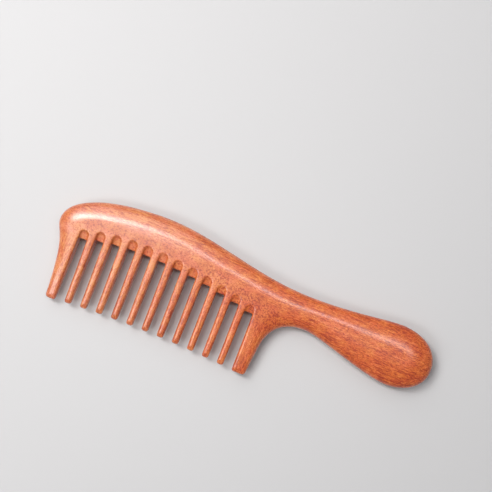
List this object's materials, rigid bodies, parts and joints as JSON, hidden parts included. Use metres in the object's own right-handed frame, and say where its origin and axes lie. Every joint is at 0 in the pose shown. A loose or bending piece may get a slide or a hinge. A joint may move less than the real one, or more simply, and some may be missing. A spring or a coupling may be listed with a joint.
{
  "type": "wide tooth comb",
  "caption": "Handled wooden comb with widely spaced flat-tipped teeth, thick guard teeth at both ends, a bowed spine and a bulbous grip.",
  "frame": {"origin": "middle of the footprint on the table plane, with the comb lying flat", "axes": "+X along the length towards the handle, teeth towards -Y, +Z through the thickness"},
  "size_m": [0.205, 0.0604, 0.0116],
  "materials": {
    "spine_wood": "oiled, satin polish, grain along the length",
    "tooth_wood": "oiled, satin polish, grain along the tooth",
    "guard_wood": "oiled, satin polish, grain along the tooth"
  },
  "bodies": {
    "root": {"spine_and_handle": "spine_wood", "front_guard_tooth": "guard_wood", "tooth_02": "tooth_wood", "tooth_03": "tooth_wood", "tooth_04": "tooth_wood", "tooth_05": "tooth_wood", "tooth_06": "tooth_wood", "tooth_07": "tooth_wood", "tooth_08": "tooth_wood", "tooth_09": "tooth_wood", "tooth_10": "tooth_wood", "tooth_11": "tooth_wood", "tooth_12": "tooth_wood", "heel_guard_tooth": "guard_wood"}
  },
  "joints": []
}
